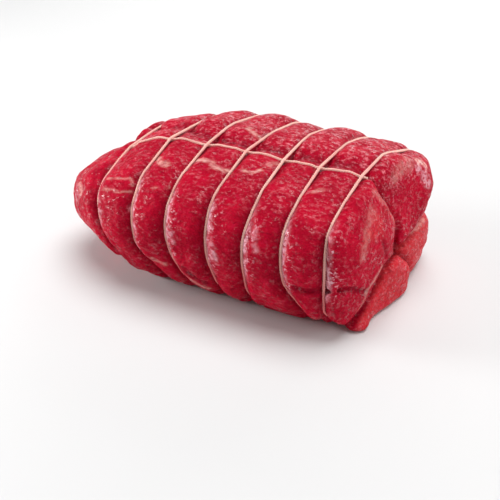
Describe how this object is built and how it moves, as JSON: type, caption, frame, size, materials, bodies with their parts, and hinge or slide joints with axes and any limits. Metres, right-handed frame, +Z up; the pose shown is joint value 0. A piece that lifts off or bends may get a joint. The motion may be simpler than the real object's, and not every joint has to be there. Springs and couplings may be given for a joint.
{
  "type": "raw beef roasting joint",
  "caption": "Raw boned beef joint, rolled and tied with round loops of butcher's twine and one lengthwise twine along the top.",
  "frame": {"origin": "on the table, under the middle of the whole joint's box", "axes": "+X along the joint, towards the blunt end where the rolled muscles' cut ends show; +Z up; the big front muscle is on the -Y side"},
  "size_m": [0.2456, 0.1594, 0.0995],
  "materials": {
    "meat": "wet raw beef, crimson, with pale pink connective tissue",
    "twine": "twisted cotton twine, cream, stained pink"
  },
  "bodies": {
    "root": {"meat": "meat", "string_lengthwise": "twine", "string_loop_1": "twine", "string_loop_2": "twine", "string_loop_3": "twine", "string_loop_4": "twine", "string_loop_5": "twine", "string_loop_6": "twine", "string_loop_7": "twine"}
  },
  "joints": []
}
